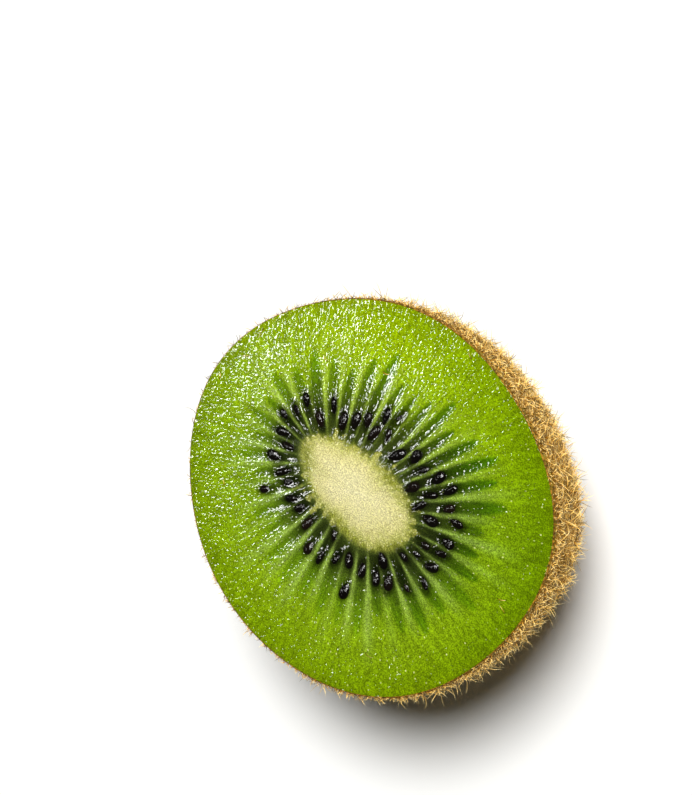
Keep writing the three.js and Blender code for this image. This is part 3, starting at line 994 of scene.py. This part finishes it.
def skin_roots(count, first_turn, last_turn, draw):
    """Where a lot of hairs stands on the skin: even roots, less those of a rubbed side."""
    angle, turn = even_roots(count, first_turn, last_turn, draw)
    rubbed = 0.4 * smooth_step(0.3, 0.95, np.cos(angle)) * smooth_step(0.0, 0.1, turn)
    worn = smooth_step(0.0, 0.9, np.cos(angle - RUBBED_SIDE)) * (1 - smooth_step(0.05, 0.4, turn))
    kept = scatter(np.arange(count), draw + 11) > np.maximum(rubbed, 0.8 * worn)
    return skin_frame(angle[kept], turn[kept])


# %% Hair maker
HAIR_SEGMENTS = 4
HAIR_TIP = 0.55  # thickness near the tip, as a share of that at the root
ROOT_DEPTH, FLOOR_GAP = 0.08, 0.12


def hair_places(count):
    """Places on a square map for all face corners. Every hair has a cell of its own, in which
    its three sides lie next to each other, root below and tip above, over its root face."""
    row, column = np.divmod(np.arange(3 * (HAIR_SEGMENTS - 1)), 3)
    sides = np.stack([column + 1, row, column + 1, row + 1, column, row + 1, column, row],
                     axis=-1).reshape(-1, 4, 2)
    last, column = np.full(3, HAIR_SEGMENTS - 1), np.arange(3)
    tips = np.stack([column, last, column + 1, last, column + 0.5, last + 1],
                    axis=-1).reshape(-1, 3, 2)
    tips = np.concatenate([tips, [[(0, -0.6), (3, -0.6), (1.5, -0.1)]]])
    cells_across = math.ceil(math.sqrt(count))
    cell = np.stack(np.divmod(np.arange(count), cells_across), axis=-1)[:, None, None]
    size = np.array([3.2, HAIR_SEGMENTS + 0.8])
    return np.concatenate([((corners + (0.1, 0.7)) / size + cell).reshape(-1, 2)
                           for corners in (sides, tips)]) / cells_across


def hair_mesh(name, roots, lengths, lift, curl, hook, thickness, stray, draw):
    """One lot of hairs. A hair's heading is `lift` degrees from the skin, in the combed
    direction. Its spine is an arc of a circle: where a share s of its length is done it has
    turned by s times its curl, so it lies at length / curl times (sin(s curl) along the
    heading plus 1 - cos(s curl) along the bend). Its rings stand square to that arc."""
    root, normal, down = roots
    count = len(root)
    item = np.arange(count)
    across = np.cross(normal, down)
    comb = np.pi * (0.25 * swellings(root, 5.0, draw + 2) + 0.2 * swellings(root, 1.5, draw + 3)
                    + stray * (scatter(item, draw + 4) - 0.5))
    lie = down * np.cos(comb)[:, None] + across * np.sin(comb)[:, None]
    rise = np.radians(mix(*lift, scatter(item, draw + 5)))[:, None]
    heading = normal * np.sin(rise) + lie * np.cos(rise)
    side = unit(np.cross(heading, normal))
    up = np.cross(side, heading)
    bend = unit(side * (2 * scatter(item, draw + 8) - 1)[:, None]
                + up * mix(*hook, scatter(item, draw + 7))[:, None])
    length = mix(*lengths, scatter(item, draw + 6) ** 1.5)[:, None, None]
    curls = mix(*curl, scatter(item, draw + 12))[:, None, None]
    steps = np.linspace(0, 1, HAIR_SEGMENTS + 1)
    bent_by = curls * steps[:, None]
    heading, bend = heading[:, None], bend[:, None]
    spine = (root - ROOT_DEPTH * normal)[:, None] + length / curls * (
        heading * np.sin(bent_by) + bend * (1 - np.cos(bent_by)))
    spine[..., 2] = np.maximum(spine[..., 2], FLOOR_GAP)
    inward = (bend * np.cos(bent_by) - heading * np.sin(bent_by))[:, :-1, None]
    square = np.cross(heading, bend)[:, :, None]
    radius = thickness / 2 * mix(0.8, 1.2, scatter(item, draw + 9))[:, None, None, None]
    taper = mix(1.0, HAIR_TIP, steps[:-1] ** 2)[:, None, None]
    around = ring_angles(3)[:, None]
    rings = spine[:, :-1, None] + radius * taper * (
        inward * np.cos(around) + square * np.sin(around))
    points = np.concatenate([rings.reshape(count, -1, 3), spine[:, -1:]], axis=1)
    squares, triangles = ring_faces(HAIR_SEGMENTS, 3, both_ends=False, flip=True)
    root_closed = np.concatenate([triangles, [[2, 1, 0]]])
    along = np.concatenate([np.repeat(steps[:-1], 3), [1.0]])
    marks = {"along": np.tile(along, count),
             "which": np.repeat(scatter(item, draw + 10), points.shape[1])}
    faces = copied((squares, root_closed), count, points.shape[1])
    return make_piece(name, points.reshape(-1, 3), *faces, marks, hair_places(count))


# %% [markdown]
# ### The material: golden hair
#
# The hairs are hollow and dry, straw-coloured at the tip, with a dull shine, and dark at the
# root: partly their own colour, partly painted shade for the shade deep in the fuzz. Some are
# browner than others.

# %% Hair material
def hair_surface(add):
    """A ramp from a dark root, partly painted shade, to a pale tip, times each hair's own lightness."""
    along, which = (add("Attribute", attribute_name=name).outputs[2]
                    for name in ("along", "which"))
    # The dark root is partly painted shade, for the shade deep in the fuzz.
    root_to_tip = add("ValToRGB", (along,), stops=[
        (0.0, "2e1a00"), (1.0, "fceab2"), (0.3, "9a6612"), (0.65, "f0c86c")])
    shade = add("MapRange", {0: which, 3: 0.15, 4: 1.8})
    tone = add("VectorMath", {0: root_to_tip, 3: shade}, operation="SCALE")
    return add("BsdfPrincipled", {
        "Base Color": tone, "Roughness": 0.55, "IOR": 1.5, "Specular IOR Level": 0.12})


# %% Fuzz lots
fuzz = make_material("golden_fuzz", hair_surface)
FUZZ_LOTS = (  # name, count, first and last turn, lengths, lift, curl, hook, thickness, stray, draw
    ("fuzz_lying", 11000, 0.002, 0.99, (1.5, 3.5), (6, 24), (0.6, 2.6), (-0.1, 0.5), 0.082, 0.4, 100),
    ("fuzz_standing", 11000, 0.002, 0.99, (0.9, 2.1), (22, 54), (0.6, 2.4), (-1.0, 0.3), 0.074, 0.5, 120),
    ("fuzz_short", 11000, 0.002, 0.99, (0.4, 1.1), (15, 60), (0.3, 1.8), (-0.6, 0.4), 0.078, 2.0, 180),
    ("fuzz_rim", 3600, 0.0, 0.045, (0.4, 1.3), (10, 70), (0.3, 1.6), (-0.6, 0.6), 0.085, 2.0, 140),
)
fuzz_pieces = []
for name, count, first_turn, last_turn, *shape in FUZZ_LOTS:
    roots = skin_roots(count, first_turn, last_turn, shape[-1])
    fuzz_pieces.append(hair_mesh(name, roots, *shape))

# %% [markdown]
# ## Loose hairs
#
# The knife carries a few hairs on to the wet face, where they stick. The same maker grows them
# from roots on the cut, lying flat and heading anywhere.

# %% Loose hairs on the wet face
LOOSE_HAIRS = 11
item = np.arange(LOOSE_HAIRS)
loose_flat = ray_point(scatter(item, 160) * 2 * np.pi, mix(0.5, 0.95, scatter(item, 161)))
loose_roots = (lifted(loose_flat, HALF_HEIGHT + 0.1), np.tile((0.0, 0.0, 1.0), (LOOSE_HAIRS, 1)),
               lifted(circle_point(9 * item), 0.0))
fuzz_pieces.append(hair_mesh("fuzz_loose", loose_roots, (0.9, 1.8), (0, 4), (0.2, 1.6),
                             (0.0, 0.05), 0.1, 1.0, 162))

for hairs in fuzz_pieces:
    hairs.data.materials.append(fuzz)
    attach(hairs, "root")
    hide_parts(NODE)

# %% [markdown]
# ## What the small lamps light
#
# Blender's light linking gives a lamp a collection of the only pieces that it lights. Key,
# side and back lamp were given one above, and now that the pieces exist it is filled.

# %% Pieces that the key, side and back lamps light
for piece in [flesh, seed_piece, skin, scar_piece] + fuzz_pieces:
    fruit_pieces.objects.link(piece)
